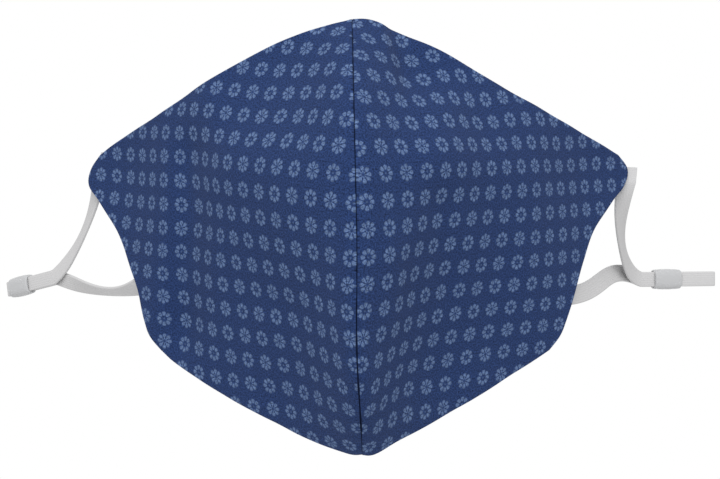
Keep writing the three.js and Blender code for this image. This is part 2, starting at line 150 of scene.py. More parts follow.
# The finish of each surface, by the shader's own names
FINISHES = {
    "printed_cotton": {"Roughness": 0.88, "Specular IOR Level": 0.08, "Sheen Weight": 0.015,
                       "Sheen Roughness": 0.5},
    "plain_cotton": {"Roughness": 0.9, "Specular IOR Level": 0.15},
    "knitted_elastic": {"Roughness": 0.8},
    "soft_translucent": {"Roughness": 0.5, "Specular IOR Level": 0.3, "IOR": 1.41,
                         "Transmission Weight": 0.25},
    "pale_floor": {"Roughness": 0.9},
}

# The weave, in threads for each step of the print, and the fine flecks of uneven dye, which
# also break up the petals' edges
THREADS = 15
WEAVE_DEPTH = 0.00005
THREAD_SHADE = 0.30
FLECK_SCALE = 15
FLECK_DETAIL = 3
FLECK_SHADE = 1.3
PETAL_BREAKS = 1.8

# The colour mixing node's own numbers for its two inputs and its output
COLOUR_SOCKETS = {"A": 6, "B": 7}
MIXED_COLOUR = 2

# The elastic's ribs and knit, in millimetres, and their height
RIB_PITCH = 0.8
KNIT_PITCH = 0.7
KNIT_SHARE = 0.35
RIB_DEPTH = 0.00002

# The flowers of the print: their radius as a share of the pitch, and the rest as shares of
# that radius
FLOWER_RADIUS = 0.325
PETALS = 8
RING_PETAL = dict(inner=0.40, outer=1.0, width=0.262)
FULL_PETAL = dict(inner=0.12, outer=1.0, width=0.257)
RING_CENTRE = 0.13
RING_CENTRE_STRENGTH = 0.45
SPOT_PLACE = 0.45
SPOT_RADIUS = 0.07
PETAL_LINE = 0.03
EDGE_SOFTNESS = 0.07

# A petal's form: its width halfway as a share of its full width, how much wider it is at its
# outer end, the power that rounds it, and how far in and out of its outline its edge is soft
PETAL_MIDDLE = 0.86
PETAL_WIDENING = 0.22
PETAL_ROUNDNESS = 2.6
PETAL_EDGE = (0.85, 1.15)

# The print: how far apart its flowers stand, how it lies on each panel and which of its two
# flowers comes first. turn is in degrees, and across and up are in steps of the pitch.
PRINT_PITCH = 0.0075
PRINT_PLACES = {
    "left": {"turn": 1.6, "across": -4.5, "up": 4.9, "first": 0},
    "right": {"turn": 4.7, "across": -5.9, "up": 4.95, "first": 1},
}

# Where the shaped cloth pulls its print off an even grid. across, up, reach and move are in
# steps of the pitch.
PRINT_PULLS = [
    dict(panel="left", across=3, up=-4, reach=4, move=(-0.10, 0.20)),
    dict(panel="left", across=9, up=4, reach=2.5, move=(0.30, 0.05)),
    dict(panel="left", across=4, up=4, reach=1.5, move=(0.55, -0.05)),
    dict(panel="left", across=-2, up=12, reach=4, move=(-0.15, -0.20)),
    dict(panel="left", across=-5, up=1, reach=1.5, move=(-0.30, 0)),
    dict(panel="left", across=-1, up=8, reach=1.5, move=(0.30, -0.05)),
    dict(panel="left", across=5, up=7, reach=2.5, move=(-0.15, -0.05)),
    dict(panel="left", across=11, up=-3, reach=4, move=(-0.50, -0.05)),
    dict(panel="left", across=-1, up=12.5, reach=1.5, move=(0.35, 0.25)),
    dict(panel="right", across=-3, up=-3, reach=1.5, move=(0.50, -0.35)),
    dict(panel="right", across=5, up=-3, reach=4, move=(-0.10, -0.20)),
    dict(panel="right", across=-2, up=7, reach=4, move=(-0.05, 0.10)),
    dict(panel="right", across=0, up=10, reach=1.5, move=(-0.30, -0.25)),
    dict(panel="right", across=-7, up=-5, reach=4, move=(-0.25, 0.15)),
    dict(panel="right", across=1, up=9, reach=1.5, move=(0.20, 0.15)),
    dict(panel="right", across=6, up=7, reach=1.5, move=(0.15, 0.10)),
    dict(panel="right", across=-3, up=2, reach=1.5, move=(0.15, -0.05)),
    dict(panel="right", across=-2.5, up=12.5, reach=1.5, move=(0.30, 0.30)),
]

# Where the levels below are read, as shares of half the mask's width
STATIONS = {"seam": 0, "flank": 0.17, "cheek": 0.37, "jaw": 0.57, "side": 0.78, "ear": 1}

# Level sections through a panel, from the chin up. height is a share of MASK_HEIGHT from its
# middle. The others say how far back the cloth lies, as shares of MASK_DEPTH.
LEVELS = [
    dict(height=-0.50, seam=0.323, flank=0.47, cheek=0.62, jaw=0.75, side=0.85, ear=0.955),
    dict(height=-0.42, seam=0.20, flank=0.42, cheek=0.575, jaw=0.715, side=0.825, ear=0.96),
    dict(height=-0.30, seam=0.088, flank=0.37, cheek=0.535, jaw=0.67, side=0.807, ear=0.965),
    dict(height=-0.18, seam=0.045, flank=0.30, cheek=0.485, jaw=0.62, side=0.79, ear=0.965),
    dict(height=-0.065, seam=0.012, flank=0.22, cheek=0.43, jaw=0.58, side=0.783, ear=0.965),
    dict(height=0.053, seam=0, flank=0.16, cheek=0.38, jaw=0.555, side=0.783, ear=0.97),
    dict(height=0.17, seam=0.012, flank=0.16, cheek=0.35, jaw=0.55, side=0.793, ear=0.98),
    dict(height=0.288, seam=0.072, flank=0.255, cheek=0.425, jaw=0.585, side=0.79, ear=0.98),
    dict(height=0.405, seam=0.195, flank=0.355, cheek=0.485, jaw=0.64, side=0.79, ear=0.98),
    dict(height=0.50, seam=0.323, flank=0.40, cheek=0.51, jaw=0.66, side=0.80, ear=0.98),
]

# Soft folds. across gives the fold's place at its low and high end, as shares of half the
# width, fade is how softly it ends, width is half its own and depth is a share of MASK_DEPTH.
FOLDS = [
    dict(panel="left", across=(0.60, 0.55), low=-0.28, high=0.26, fade=0.16, width=0.08,
         depth=0.065),
    dict(panel="left", across=(0.85, 0.85), low=-0.70, high=0.70, fade=0.10, width=0.28,
         depth=0.036),
    dict(panel="left", across=(0.50, 0.50), low=0.22, high=0.50, fade=0.14, width=0.08,
         depth=-0.022),
    dict(panel="left", across=(0.28, 0.28), low=-0.34, high=-0.18, fade=0.10, width=0.08,
         depth=-0.018),
    dict(panel="right", across=(0.28, 0.28), low=0.14, high=0.34, fade=0.14, width=0.09,
         depth=-0.032),
    dict(panel="right", across=(0.27, 0.25), low=-0.14, high=0.10, fade=0.12, width=0.06,
         depth=0.024),
    dict(panel="right", across=(0.11, 0.11), low=-0.22, high=0, fade=0.12, width=0.05,
         depth=-0.024),
]

# Sharp creases, where the cloth steps back. reach is how far outward the step lasts.
CREASES = [
    dict(panel="right", across=(0.145, 0.085), low=0.33, high=0.60, fade=0.10, width=0.014,
         reach=0.16, depth=0.045),
]

# The panels' outlines seen from the front: across is a share of half the mask's width and
# up is a share of its height from the middle.
OUTLINES = {
    "left": {
        "top": [(0, 0.50), (0.18, 0.471), (0.30, 0.442), (0.493, 0.38), (0.663, 0.319),
                (0.86, 0.255), (0.945, 0.219)],
        "side": [(0.69, -0.288), (0.738, -0.251), (0.757, -0.213), (0.784, -0.136),
                 (0.825, -0.059), (0.873, 0.019), (0.957, 0.10), (1, 0.141), (0.99, 0.181),
                 (0.945, 0.219)],
        "bottom": [(0, -0.50), (0.05, -0.50), (0.167, -0.478), (0.267, -0.451),
                   (0.462, -0.389), (0.626, -0.324), (0.69, -0.288)],
    },
    "right": {
        "top": [(0, 0.50), (0.06, 0.50), (0.17, 0.472), (0.278, 0.443), (0.451, 0.378),
                (0.643, 0.315), (0.849, 0.252), (0.954, 0.218)],
        "side": [(0.665, -0.285), (0.711, -0.248), (0.734, -0.21), (0.769, -0.135),
                 (0.802, -0.058), (0.846, 0.019), (0.931, 0.098), (0.983, 0.139),
                 (0.998, 0.18), (0.954, 0.218)],
        "bottom": [(0, -0.50), (0.04, -0.50), (0.127, -0.473), (0.224, -0.446),
                   (0.409, -0.385), (0.581, -0.32), (0.665, -0.285)],
    },
}

# Where each adjuster hangs, from its wing tip: out, back and down are shares of LOOP_SPREAD,
# LOOP_REACH and LOOP_DROP. turn and dip are its direction in degrees, and lead and tail are
# how far the two strands lie together before and after it.
ADJUSTERS = {
    "left": dict(out=0.67, back=0.80, down=1.035, turn=38, dip=10.5, lead=0.014, tail=0.0015),
    "right": dict(out=0.38, back=0.78, down=0.975, turn=18, dip=0, lead=0.0045, tail=0.0137),
}

# Each strand's sewn end. edge is its place along the side edge from the bottom up. hold is how
# far inside that edge and beside how far to its side it is sewn, in strap widths. turn is in
# degrees, and lap is a share of LAP_LENGTH. From there it sets off outward, back and up. pull
# and mouth_pull are how far it keeps each end's direction, as shares of the way, and lift is
# how steeply it comes to the adjuster. roll, in degrees, turns its flat face, most of all
# halfway, or nearer to the sewn end where early is below 1.
STRANDS = {
    "left": {
        "upper": dict(edge=0.82, hold=0.6, beside=0.5, turn=0, lap=1,
                      set_off=(0.22, 0.45, -0.85), pull=0.36, mouth_pull=0.27, lift=0.35,
                      roll=-28, early=1),
        "lower": dict(edge=0.31, hold=0, beside=0, turn=0, lap=1,
                      set_off=(0.55, 0.60, -0.34), pull=0.28, mouth_pull=0.25, lift=-0.40,
                      roll=62, early=0.6),
    },
    "right": {
        "upper": dict(edge=0.87, hold=0, beside=0.35, turn=42, lap=0.5,
                      set_off=(-0.24, 0.10, -0.95), pull=0.36, mouth_pull=0.20, lift=0.1,
                      roll=-42, early=1),
        "lower": dict(edge=0.26, hold=0, beside=0, turn=0, lap=1,
                      set_off=(0.70, 0.70, 0.02), pull=0.40, mouth_pull=0.30, lift=0.45,
                      roll=-25, early=1),
    },
}

# Camera and studio. The camera looks level along +Y.
CAMERA_PLACE = (0.0008, -0.369, -0.00075)
CAMERA_LENS = 63.15
CAMERA_SENSOR = 36.0
FLOOR_HEIGHT = -0.30
FLOOR_HALF = 0.75
KEY_LIGHT = dict(place=(-0.05, -0.9, 0.9), size=0.8, power=14)


def smooth_through(places, values, at):
    """A smooth curve through a few stations, read at many places at once. values has one
    row for each station: a number, or a number for each place."""
    at = np.asarray(at, float)
    places = np.asarray(places, float)
    rows = np.asarray(values, float)
    if rows.ndim == 1:
        rows = np.repeat(rows[:, None], at.size, axis=1)
    gaps = np.diff(places)
    secants = np.diff(rows, axis=0) / gaps[:, None]
    slopes = np.empty(rows.shape)
    slopes[0] = secants[0]
    slopes[-1] = secants[-1]
    before = gaps[:-1, None]
    after = gaps[1:, None]
    slopes[1:-1] = (secants[:-1] * after + secants[1:] * before) / (before + after)
    low = np.clip(np.searchsorted(places, at, side="right") - 1, 0, len(places) - 2)
    span = gaps[low]
    t = (at - places[low]) / span

    def pick(table, k):
        return np.take_along_axis(table, (low + k)[None], axis=0)[0]

    leaving = (1 + 2 * t) * (1 - t) ** 2 * pick(rows, 0) + t * (1 - t) ** 2 * span * pick(slopes, 0)
    arriving = t * t * (3 - 2 * t) * pick(rows, 1) + t * t * (t - 1) * span * pick(slopes, 1)
    return leaving + arriving


def soft_step(value):
    """0 below 0, 1 above 1 and a soft change between them."""
    t = np.clip(value, 0, 1)
    return t * t * (3 - 2 * t)


def unit(vectors):
    return vectors / np.linalg.norm(vectors, axis=-1, keepdims=True)


def turned(vectors, axis, angle):
    """Vectors turned about unit axes by angles in radians."""
    c = np.cos(angle)[..., None]
    s = np.sin(angle)[..., None]
    along = (vectors * axis).sum(-1, keepdims=True)
    return vectors * c + np.cross(axis, vectors) * s + axis * along * (1 - c)


def fold_strength(fold, height):
    """1 between a fold's ends and 0 beyond them."""
    from_low = soft_step((height - fold["low"]) / fold["fade"] + 0.5)
    from_high = soft_step((fold["high"] - height) / fold["fade"] + 0.5)
    return from_low * from_high


def fold_place(fold, height):
    """How far from the seam a fold lies at a height, as a share of half the width."""
    share = np.clip((height - fold["low"]) / (fold["high"] - fold["low"]), 0, 1)
    low, high = fold["across"]
    return low + (high - low) * share


def cloth_depth(panel, across, height):
    """How far behind the front of the seam the cloth lies."""
    heights = [level["height"] for level in LEVELS]
    section = [smooth_through(heights, [level[name] for level in LEVELS], height)
               for name in STATIONS]
    turn = SEAM_TURN_WIDTH / HALF_WIDTH
    rounded = np.sqrt(across ** 2 + turn ** 2) - turn
    depth = smooth_through(list(STATIONS.values()), np.array(section), rounded)
    for fold in FOLDS:
        if fold["panel"] == panel:
            offset = (across - fold_place(fold, height)) / fold["width"]
            depth = depth + fold["depth"] * fold_strength(fold, height) * np.exp(-offset ** 2)
    for crease in CREASES:
        if crease["panel"] == panel:
            past = across - fold_place(crease, height)
            step = 0.5 + 0.5 * np.tanh(past / crease["width"])
            lasting = np.exp(-(np.maximum(past, 0) / crease["reach"]) ** 2)
            depth = depth + crease["depth"] * fold_strength(crease, height) * step * lasting
    return depth * MASK_DEPTH


def edge_curve(points):
    """A smooth curve through an outline's points, with the share of its length at each."""
    p = np.array(points, float)
    p = np.vstack([2 * p[0] - p[1], p, 2 * p[-1] - p[-2]])
    t = (np.arange(OUTLINE_STEPS) / OUTLINE_STEPS)[:, None]
    pieces = []
    for k in range(1, len(p) - 2):
        a, b, c, d = p[k - 1:k + 3]
        pieces.append(0.5 * (2 * b + (c - a) * t + (2 * a - 5 * b + 4 * c - d) * t ** 2
                             + (3 * b - a - 3 * c + d) * t ** 3))
    line = np.vstack(pieces + [p[-2:-1]])
    steps_along = np.linalg.norm(np.diff(line, axis=0), axis=1)
    length = np.concatenate([[0], np.cumsum(steps_along)])
    return length / length[-1], line


EDGE_CURVES = {panel: {name: edge_curve(points) for name, points in edges.items()}
               for panel, edges in OUTLINES.items()}


def along_edge(panel, name, share):
    """The places on one edge of a panel's outline at shares of its length."""
    shares, line = EDGE_CURVES[panel][name]
    return np.stack([np.interp(share, shares, line[:, k]) for k in (0, 1)], axis=-1)


def front_view(panel, s, t):
    """The front view of a panel as a patch between its four edges: s runs from the seam to
    the side edge and t from the bottom edge to the top edge."""
    low = along_edge(panel, "bottom", s)
    high = along_edge(panel, "top", s)
    outer = along_edge(panel, "side", t)
    s = s[:, None]
    t = t[:, None]
    seam = np.hstack([np.zeros(t.shape), t - 0.5])
    corner_low = along_edge(panel, "side", np.zeros(1)) * s + np.array([[0, -0.5]]) * (1 - s)
    corner_high = along_edge(panel, "side", np.ones(1)) * s + np.array([[0, 0.5]]) * (1 - s)
    upright = low * (1 - t) + high * t
    sideways = seam * (1 - s) + outer * s
    return upright + sideways - corner_low * (1 - t) - corner_high * t


def seam_place(height):
    """How far to the right of the middle the seam lies."""
    bow = np.exp(-((height - SEAM_BOW_HEIGHT) / SEAM_BOW_REACH) ** 2)
    return -SEAM_LEAN * height - SEAM_BOW * bow


def outer_point(panel, s, t):
    """The outer face of the cloth at s and t."""
    view = front_view(panel, s, t)
    across = np.maximum(view[:, 0], 0)
    lean = seam_place(view[:, 1]) * (1 - across)
    x = SIDE_SIGN[panel] * (SEAM_GAP / 2 + across * (HALF_WIDTH - SEAM_GAP / 2)) + lean
    y = cloth_depth(panel, across, view[:, 1]) - FACE_SETBACK
    return np.stack([x, y, view[:, 1] * MASK_HEIGHT], axis=-1)


def outer_normal(panel, s, t):
    """The direction out of the cloth at s and t, away from the face."""
    s_low = np.maximum(s - NORMAL_NUDGE, 0)
    s_high = np.minimum(s + NORMAL_NUDGE, 1)
    t_low = np.maximum(t - NORMAL_NUDGE, 0)
    t_high = np.minimum(t + NORMAL_NUDGE, 1)
    along_s = outer_point(panel, s_high, t) - outer_point(panel, s_low, t)
    along_t = outer_point(panel, s, t_high) - outer_point(panel, s, t_low)
    return unit(np.cross(along_s, along_t)) * SIDE_SIGN[panel]


def flatten(points):
    """Lays a fine grid of points flat with its lengths kept, as the cloth was before it was
    shaped, and gives the flat place of each point."""
    rows, columns = points.shape[:2]
    row_ids = np.arange(0, rows, FLAT_STRIDE)
    column_ids = np.arange(0, columns, FLAT_STRIDE)
    knots = np.ix_(row_ids, column_ids)
    reach = np.zeros((rows, columns))
    reach[:, 1:] = np.cumsum(np.linalg.norm(np.diff(points, axis=1), axis=2), axis=1)
    climb = np.zeros((rows, columns))
    climb[1:] = np.cumsum(np.linalg.norm(np.diff(points, axis=0), axis=2), axis=0)
    reach, climb, corners = reach[knots], climb[knots], points[knots]
    rising = np.linalg.norm(corners[1:, 1:] - corners[:-1, :-1], axis=2)
    falling = np.linalg.norm(corners[1:, :-1] - corners[:-1, 1:], axis=2)
    number = np.arange(reach.size).reshape(reach.shape)
    ties = [
        (number[:, :-1], number[:, 1:], np.diff(reach, axis=1)),
        (number[:-1], number[1:], np.diff(climb, axis=0)),
        (number[:-1, :-1], number[1:, 1:], rising),
        (number[:-1, 1:], number[1:, :-1], falling),
    ]
    start, end, length = (np.concatenate([tie[k].ravel() for tie in ties]) for k in range(3))
    middle = reach.shape[0] // 2
    flat = np.stack([reach, climb - climb[middle, 0]], axis=-1).reshape(-1, 2)
    for _ in range(FLAT_ROUNDS):
        flat = flat + length_step(flat, start, end, length)
    flat = flat.reshape(*reach.shape, 2)
    fine = np.empty((rows, columns, 2))
    for k in range(2):
        wide = [smooth_through(column_ids, row, np.arange(columns)) for row in flat[..., k]]
        tall = [smooth_through(row_ids, line, np.arange(rows)) for line in np.array(wide).T]
        fine[..., k] = np.array(tall).T
    return fine


def length_step(flat, start, end, length):
    """The move of each flat point that brings the lengths between them nearer to theirs."""
    way = flat[end] - flat[start]
    now = np.linalg.norm(way, axis=1)
    direction = way / now[:, None]
    matrix = np.zeros((flat.size, flat.size))
    target = np.zeros(flat.size)
    for a in range(2):
        pull = direction[:, a] * (now - length)
        np.add.at(target, 2 * start + a, pull)
        np.add.at(target, 2 * end + a, -pull)
        for b in range(2):
            product = direction[:, a] * direction[:, b]
            np.add.at(matrix, (2 * start + a, 2 * start + b), product)
            np.add.at(matrix, (2 * end + a, 2 * end + b), product)
            np.add.at(matrix, (2 * start + a, 2 * end + b), -product)
            np.add.at(matrix, (2 * end + a, 2 * start + b), -product)
    matrix[np.diag_indices(flat.size)] += FLAT_DAMPING
    return np.linalg.solve(matrix, target).reshape(-1, 2)


def print_place(panel, flat):
    """Flat cloth places as places in the print, where each whole step is a flower."""
    row = PRINT_PLACES[panel]
    turn = math.radians(row["turn"])
    u = flat[..., 0] / PRINT_PITCH
    v = flat[..., 1] / PRINT_PITCH
    place = np.stack([
        u * math.cos(turn) - v * math.sin(turn) + row["across"],
        u * math.sin(turn) + v * math.cos(turn) + row["up"],
    ], axis=-1)
    moved = place.copy()
    for pull in PRINT_PULLS:
        if pull["panel"] == panel:
            away = np.linalg.norm(place - (pull["across"], pull["up"]), axis=-1)
            strength = np.exp(-(away / pull["reach"]) ** 2)
            moved += strength[..., None] * pull["move"]
    return moved


def new_object(name, points, faces, uvs=None, materials=(), material_ids=None, flip=False):
    """A smooth mesh object. uvs has a place for each point."""
    if flip:
        faces = [face[::-1] for face in faces]
    mesh = bpy.data.meshes.new(name)
    mesh.from_pydata(np.asarray(points).tolist(), [], faces)
    if uvs is not None:
        layer = mesh.uv_layers.new(name="cloth")
        ids = np.empty(len(mesh.loops), int)
        mesh.loops.foreach_get("vertex_index", ids)
        layer.data.foreach_set("uv", np.asarray(uvs, float)[ids].ravel())
    for material in materials:
        mesh.materials.append(material)
    if material_ids is not None:
        mesh.polygons.foreach_set("material_index", material_ids)
    mesh.polygons.foreach_set("use_smooth", [True] * len(mesh.polygons))
    mesh.update()
    piece = bpy.data.objects.new(name, mesh)
    bpy.context.scene.collection.objects.link(piece)
    return piece


def panel_flat(panel):
    """The whole panel laid flat, on an even grid of s and t."""
    s = np.linspace(0, 1, FLAT_COLUMNS + 1)
    t = np.linspace(0, 1, FLAT_ROWS + 1)
    points = outer_point(panel, np.tile(s, t.size), np.repeat(t, s.size))
    return flatten(points.reshape(t.size, s.size, 3))


def read_flat(flat, s, t):
    """The flat place at s and t, between the points of the flat grid."""
    column = s * FLAT_COLUMNS
    row = t * FLAT_ROWS
    c = np.clip(column.astype(int), 0, FLAT_COLUMNS - 1)
    r = np.clip(row.astype(int), 0, FLAT_ROWS - 1)
    across = (column - c)[:, None]
    up = (row - r)[:, None]
    low = flat[r, c] * (1 - across) + flat[r, c + 1] * across
    high = flat[r + 1, c] * (1 - across) + flat[r + 1, c + 1] * across
    return low * (1 - up) + high * up


def panel_grid(panel):
    """s and t of the fine grid. It stops short of the outline by as much as the rounded rim
    shows past it from the front."""
    across = np.linspace(0, 1, PANEL_COLUMNS + 1)
    up = np.linspace(0, 1, PANEL_ROWS + 1)
    half = CLOTH_WALL / 2
    heights = along_edge(panel, "top", across)[:, 1] - along_edge(panel, "bottom", across)[:, 1]
    steepness = half / (heights * MASK_HEIGHT)
    low = steepness * (1 + outer_normal(panel, across, np.zeros(across.size))[:, 2])
    high = steepness * (1 - outer_normal(panel, across, np.ones(across.size))[:, 2])
    facing_out = outer_normal(panel, np.ones(up.size), up)[:, 0] * SIDE_SIGN[panel]
    side = half / HALF_WIDTH * (1 - facing_out)[:, None]
    start = SEAM_FOLD / HALF_WIDTH
    s = start + (1 - side - start) * across
    t = low + (1 - low - high) * up[:, None]
    return s.ravel(), t.ravel()


def cloth_waves(print_at, s):
    """How far the soft cloth stands out of its smooth shape."""
    u = print_at[:, 0]
    v = print_at[:, 1]
    slow = np.zeros(u.shape)
    for wave in SLOW_WAVES:
        sines = [np.sin(sine["across"] * u + sine["up"] * v + sine["start"])
                 for sine in wave["sines"]]
        slow += wave["strength"] * sines[0] * sines[1]
    beside_seam = np.exp(-s * HALF_WIDTH / PUCKER_REACH)
    drift = PUCKER_DRIFT * np.sin(PUCKER_DRIFT_RATE * v)
    pucker = np.sin(2 * math.pi * v * PRINT_PITCH / PUCKER_PITCH + drift)
    return WAVE_HEIGHT * slow + PUCKER_HEIGHT * beside_seam * pucker


def groove_place(height):
    """Half the width of the seam's groove, closed at both of its ends."""
    above, below = GROOVE_CHANGE
    share = soft_step((height - above) / (below - above))
    closing = soft_step((0.5 - np.abs(height)) * MASK_HEIGHT / GROOVE_END)
    uneven = 1 + GROOVE_UNEVENNESS * np.sin(2 * math.pi * height * MASK_HEIGHT / GROOVE_PITCH)
    return (GROOVE_ABOVE + (GROOVE_BELOW - GROOVE_ABOVE) * share) * closing * uneven


def rim_reach(edges, outer, normal):
    """How far and which way the rounded rim reaches at each grid point of the four edges.
    The last edge is the one at the seam. A corner belongs to two edges and gets a mitre."""
    reach = np.zeros(outer.shape)
    ways = []
    for edge in edges:
        far = SEAM_FOLD + SEAM_GAP / 2 if edge is edges[-1] else CLOTH_WALL / 2
        along = np.gradient(outer[edge], axis=0)
        ways.append(unit(np.cross(along, normal[edge])))
        reach[edge] += ways[-1] * far
    for k, edge in enumerate(edges):
        reach[edge[0]] /= 1 + ways[k][0] @ ways[k - 1][-1]
    return reach


def rim_points(outer, inner, normal, outward):
    """The points of the rounded rim, ring after ring from the outer face to the inner one."""
    middle = (outer + inner) / 2
    rings = []
    for step in range(1, RIM_STEPS):
        angle = math.pi * step / RIM_STEPS
        rings.append(middle + normal * math.cos(angle) * CLOTH_WALL / 2
                     + outward * math.sin(angle))
    return rings


def fold_at_seam(points, sign, grid, rim):
    """Keeps the seam's groove open and lets the folds below it meet on the seam's plane."""
    height = points[:, 2] / MASK_HEIGHT
    seam = seam_place(height)
    rim_start = 2 * grid.size
    meeting_start = rim_start + len(rim) * GROOVE_STEPS
    least = groove_place(height)
    least[:rim_start] = 0
    least[meeting_start:] = -SEAM_PRESS
    from_seam = np.maximum(sign * (points[:, 0] - seam), least)
    # The first point of a ring is the seam's lowest, and its last points go down the seam
    meeting = meeting_start + (-np.arange(len(grid))) % len(rim)
    from_seam[meeting] = -SEAM_PRESS
    points[:, 0] = seam + sign * from_seam


def panel_faces(grid, rim):
    """The faces of a panel, and for each face 1 where it is plain and 0 where it is printed.
    The plain inner cloth starts where the rim turns inward."""
    rings = [rim]
    for step in range(RIM_STEPS - 1):
        rings.append(2 * grid.size + len(rim) * step + np.arange(len(rim)))
    rings.append(rim + grid.size)
    cells = np.stack([grid[:-1, :-1], grid[:-1, 1:], grid[1:, 1:], grid[1:, :-1]], axis=-1)
    cells = cells.reshape(-1, 4)
    faces = [cells, cells[:, ::-1] + grid.size]
    for near, far in zip(rings[:-1], rings[1:]):
        faces.append(np.stack([near, far, np.roll(far, -1), np.roll(near, -1)], axis=-1))
    faces = np.vstack(faces)
    plain = np.zeros(len(faces), int)
    plain[len(cells):2 * len(cells)] = 1
    plain[2 * len(cells) + len(rim) * RIM_STEPS // 2:] = 1
    return faces, plain


def panel_piece(panel, materials):
    """One cloth panel: outer face, inner face and a rounded rim round all four edges."""
    sign = SIDE_SIGN[panel]
    flat = panel_flat(panel)
    s, t = panel_grid(panel)
    print_at = print_place(panel, read_flat(flat, s, t))
    normal = outer_normal(panel, s, t)
    outer = outer_point(panel, s, t) + normal * cloth_waves(print_at, s)[:, None]
    inner = outer - normal * CLOTH_WALL
    grid = np.arange(s.size).reshape(PANEL_ROWS + 1, PANEL_COLUMNS + 1)
    edges = [grid[0], grid[:, -1], grid[-1, ::-1], grid[::-1, 0]]
    rim = np.concatenate([edge[:-1] for edge in edges])
    outward = rim_reach(edges, outer, normal * sign)[rim]
    points = np.vstack([outer, inner] + rim_points(outer[rim], inner[rim], normal[rim], outward))
    fold_at_seam(points, sign, grid, rim)
    faces, plain = panel_faces(grid, rim)
    uvs = np.vstack([print_at, print_at] + [print_at[rim]] * (RIM_STEPS - 1))
    piece = new_object(f"cloth_{panel}", points, faces.tolist(), uvs, materials, plain,
                       flip=sign < 0)
    finish_piece(piece, "printed_cotton", f"panel_{panel}")
    return piece


def finish_piece(piece, slot, *nodes):
    """Fastens a piece to the frame and lets it stand for these nodes of the model."""
    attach(piece, "root")
    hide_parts(*nodes)


def surface_at(panel, s, t):
    """One point of the cloth's outer face."""
    return outer_point(panel, np.array([s]), np.array([t]))[0]


def normal_at(panel, s, t):
    """The direction out of the cloth at one point."""
    return outer_normal(panel, np.array([s]), np.array([t]))[0]


def adjuster_place(panel):
    """The mouth of an adjuster and its three directions."""
    row = ADJUSTERS[panel]
    sign = SIDE_SIGN[panel]
    turn = math.radians(row["turn"])
    dip = math.radians(row["dip"])
    along = np.array([sign * math.cos(turn) * math.cos(dip),
                      math.sin(turn) * math.cos(dip),
                      -math.sin(dip)])
    from_tip = np.array([sign * row["out"] * LOOP_SPREAD, row["back"] * LOOP_REACH,
                         -row["down"] * LOOP_DROP])
    layers = unit(np.cross(along, UP)) * sign
    rise = unit(np.cross(layers, along)) * sign
    mouth = surface_at(panel, 1, WING_TIP_SHARE) + from_tip
    return dict(row=row, along=along, layers=layers, rise=rise, mouth=mouth)


def patch_directions(panel, s, t):
    """How far one unit of s and one unit of t reach on the cloth."""
    s_at = min(s, 1) - PATCH_NUDGE
    t_at = min(max(t, PATCH_NUDGE), 1 - PATCH_NUDGE)
    here = surface_at(panel, s_at, t_at)
    along_s = (surface_at(panel, s_at + PATCH_NUDGE, t_at) - here) / PATCH_NUDGE
    along_t = (surface_at(panel, s_at, t_at + PATCH_NUDGE) - here) / PATCH_NUDGE
    return along_s, along_t


def cloth_station(panel, strand, s, t, run):
    """A station of a strap held behind the cloth: its middle, face direction and width."""
    sign = SIDE_SIGN[panel]
    inside = min(s, 1)
    behind = CLOTH_WALL + LAP_CLEARANCE + STRAP_THICKNESS / 2
    turn = np.array(sign * math.radians(strand["turn"]))
    normal = normal_at(panel, inside, t)
    face = turned(normal, run, turn)
    outward = unit(np.cross(face, run)) * sign
    along_s, _ = patch_directions(panel, inside, t)
    centre = surface_at(panel, inside, t) - normal * behind
    centre = centre + along_s * (s - inside) + outward * strand["beside"] * STRAP_WIDTH
    return centre, face, STRAP_WIDTH


def lap_stations(panel, strand, set_off):
    """A sewn strap end, from the edge of the cloth to the strap's end."""
    move = -set_off * strand["lap"] * LAP_LENGTH / LAP_STEPS
    along_s, _ = patch_directions(panel, 1, strand["edge"])
    s = 1 - strand["hold"] * STRAP_WIDTH / np.linalg.norm(along_s)
    t = strand["edge"]
    stations = []
    for _ in range(LAP_STEPS + 1):
        stations.append(cloth_station(panel, strand, s, t, set_off))
        along_s, along_t = patch_directions(panel, s, t)
        steps = np.linalg.lstsq(np.stack([along_s, along_t], axis=1), move, rcond=None)[0]
        s += steps[0]
        t += steps[1]
    return stations


def bezier(controls, at):
    """Places and slopes of a curve with four controls."""
    a, b, c, d = controls
    t = np.asarray(at)[:, None]
    place = a * (1 - t) ** 3 + 3 * b * t * (1 - t) ** 2 + 3 * c * t ** 2 * (1 - t) + d * t ** 3
    slope = 3 * ((b - a) * (1 - t) ** 2 + 2 * (c - b) * t * (1 - t) + (d - c) * t ** 2)
    return place, slope


